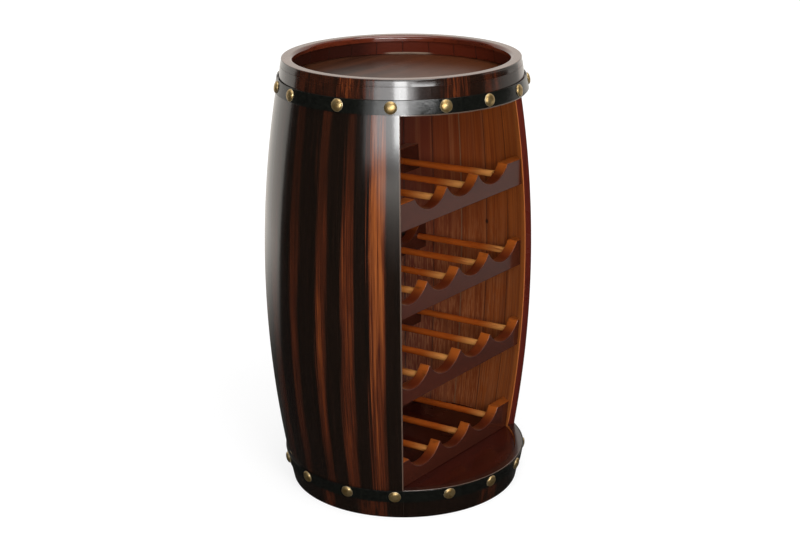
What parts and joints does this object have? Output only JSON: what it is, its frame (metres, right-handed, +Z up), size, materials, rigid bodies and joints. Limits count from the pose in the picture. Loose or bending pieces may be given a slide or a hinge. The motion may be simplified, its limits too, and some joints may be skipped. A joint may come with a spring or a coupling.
{
  "type": "barrel wine rack",
  "caption": "Small upright barrel of bulged staves, open at the front, with scalloped rail and rod shelves for lying bottles and a sunk tray inside its top rim.",
  "frame": {"origin": "on the floor, under the middle of the rack's bounding box; the barrel's own axis is at y = -0.0123, because the opening leaves the box shallower in front of it", "axes": "+Z up along the barrel's axis, the opening faces -Y, +X to the right as seen from the opening"},
  "size_m": [0.4497, 0.4261, 0.708],
  "materials": {
    "lacquered_staves": "gloss lacquer",
    "rim_moulding": "gloss lacquer",
    "tray_wood": "satin lacquer",
    "floor_wood": "gloss lacquer",
    "hoop_steel": "satin black",
    "rail_wood": "gloss lacquer",
    "rod_wood": "satin lacquer"
  },
  "bodies": {
    "root": {"stave_01": "lacquered_staves", "stave_02": "lacquered_staves", "stave_03": "lacquered_staves", "stave_04": "lacquered_staves", "stave_05": "lacquered_staves", "stave_06": "lacquered_staves", "stave_07": "lacquered_staves", "stave_08": "lacquered_staves", "stave_09": "lacquered_staves", "stave_10": "lacquered_staves", "stave_11": "lacquered_staves", "stave_12": "lacquered_staves", "stave_13": "lacquered_staves", "stave_14": "lacquered_staves", "stave_15": "lacquered_staves", "stave_16": "lacquered_staves", "stave_17": "lacquered_staves", "stave_18": "lacquered_staves", "top_short_stave_1": "lacquered_staves", "top_short_stave_2": "lacquered_staves", "top_short_stave_3": "lacquered_staves", "top_short_stave_4": "lacquered_staves", "top_short_stave_5": "lacquered_staves", "top_short_stave_6": "lacquered_staves", "top_short_stave_7": "lacquered_staves", "top_short_stave_8": "lacquered_staves", "bottom_short_staves": "lacquered_staves", "rim_ring": "rim_moulding", "tray_board": "tray_wood", "floor_board": "floor_wood", "top_hoop": "hoop_steel", "bottom_hoop": "hoop_steel", "front_rail_1": "rail_wood", "back_rail_1": "rail_wood", "front_rail_2": "rail_wood", "back_rail_2": "rail_wood", "front_rail_3": "rail_wood", "back_rail_3": "rail_wood", "front_rail_4": "rail_wood", "back_rail_4": "rail_wood", "shelf_1_rod_1": "rod_wood", "shelf_1_rod_2": "rod_wood", "shelf_1_rod_3": "rod_wood", "shelf_1_rod_4": "rod_wood", "shelf_2_rod_1": "rod_wood", "shelf_2_rod_2": "rod_wood", "shelf_2_rod_3": "rod_wood", "shelf_2_rod_4": "rod_wood", "shelf_2_rod_5": "rod_wood", "shelf_3_rod_1": "rod_wood", "shelf_3_rod_2": "rod_wood", "shelf_3_rod_3": "rod_wood", "shelf_3_rod_4": "rod_wood", "shelf_3_rod_5": "rod_wood", "shelf_4_rod_1": "rod_wood", "shelf_4_rod_2": "rod_wood", "shelf_4_rod_3": "rod_wood", "shelf_4_rod_4": "rod_wood"}
  },
  "joints": []
}
